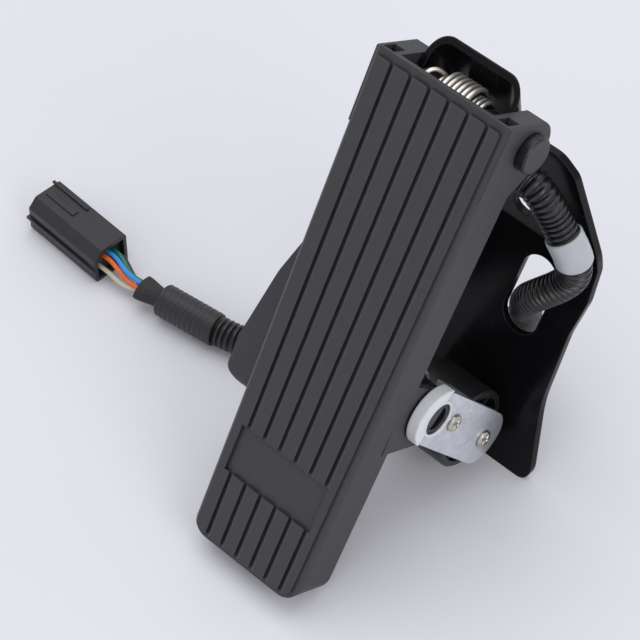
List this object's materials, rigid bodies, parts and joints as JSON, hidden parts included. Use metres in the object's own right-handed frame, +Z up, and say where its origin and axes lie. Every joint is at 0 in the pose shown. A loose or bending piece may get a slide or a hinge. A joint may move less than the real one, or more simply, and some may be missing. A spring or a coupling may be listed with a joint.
{
  "type": "accelerator pedal",
  "caption": "Floor-mounted accelerator pedal: a ribbed treadle hinged on a bent base plate, with a roller lever, a position sensor housing and a wired connector.",
  "frame": {"origin": "on the table under the middle of the pedal's box, the cable and connector left out", "axes": "+Z up, +Y from the treadle's face toward the base plate's back, +X along the hinge to the right as seen from the treadle's face"},
  "size_m": [0.2678, 0.1771, 0.204],
  "materials": {
    "plate_gloss": "glossy black stoved paint",
    "treadle_black": "fine grained matte black moulding",
    "housing_black": "matte black moulding",
    "pin_black": "black finished steel",
    "spring_steel": "pale drawn spring steel",
    "zinc": "bright zinc plate",
    "nylon_white": "translucent white nylon",
    "bush_cream": "cream nylon",
    "shaft_dark": "dark steel",
    "roller_black": "black roller moulding",
    "conduit_black": "corrugated black conduit",
    "sleeve_clear": "milky heat-shrink sleeve",
    "sleeve_black": "black shrink sleeve",
    "tape": "black cloth tape",
    "wire_cream": "cream insulation",
    "wire_orange": "orange insulation",
    "wire_blue": "blue insulation",
    "wire_green": "green insulation",
    "wire_black": "black insulation",
    "plug_black": "black connector moulding",
    "seal_grey": "grey wire seal"
  },
  "bodies": {
    "base": {"base_plate": "plate_gloss", "hinge_bracket": "plate_gloss", "pivot_pin": "pin_black", "pin_clip": "spring_steel", "spring_outer": "spring_steel", "spring_inner": "spring_steel", "spring_spool": "roller_black", "cable_gland": "sleeve_black", "conduit": "conduit_black", "clear_sleeve": "sleeve_clear", "black_sleeve": "sleeve_black", "tape_neck": "tape", "wire_cream": "wire_cream", "wire_orange": "wire_orange", "wire_blue": "wire_blue", "wire_green": "wire_green", "wire_black": "wire_black", "connector": "plug_black", "connector_lock": "plug_black", "connector_seal": "seal_grey"},
    "treadle": {"treadle": "treadle_black", "ear_bushes": "bush_cream", "sensor_housing": "housing_black", "sensor_cover": "housing_black", "sensor_screws": "zinc", "shaft_bushes": "roller_black"},
    "lever": {"lever_right": "zinc", "lever_left": "zinc", "lever_nylon": "nylon_white", "lever_shaft": "shaft_dark", "lever_spool": "roller_black", "lever_spring": "spring_steel", "lever_screws": "zinc", "roller_axle": "zinc"},
    "roller": {"roller": "roller_black"}
  },
  "joints": [
    {"name": "treadle_hinge", "type": "hinge", "parent": "base", "child": "treadle", "pos_m": [0, 0.0489, 0.18402], "axis": [1, 0, 0], "range_deg": [0, 10], "stiffness_Nm_per_rad": 4, "springref_deg": -17.19},
    {"name": "lever_swing", "type": "hinge", "parent": "treadle", "child": "lever", "pos_m": [0, 0.00016, 0.06821], "axis": [1, 0, 0], "range_deg": [-47.5, 0]},
    {"name": "roller_spin", "type": "hinge", "parent": "lever", "child": "roller", "pos_m": [0, 0.03, 0.02809], "axis": [1, 0, 0], "continuous": true}
  ],
  "couplings": [
    {"joint": "lever_swing", "follows": "treadle_hinge", "ratio": -4.7}
  ]
}
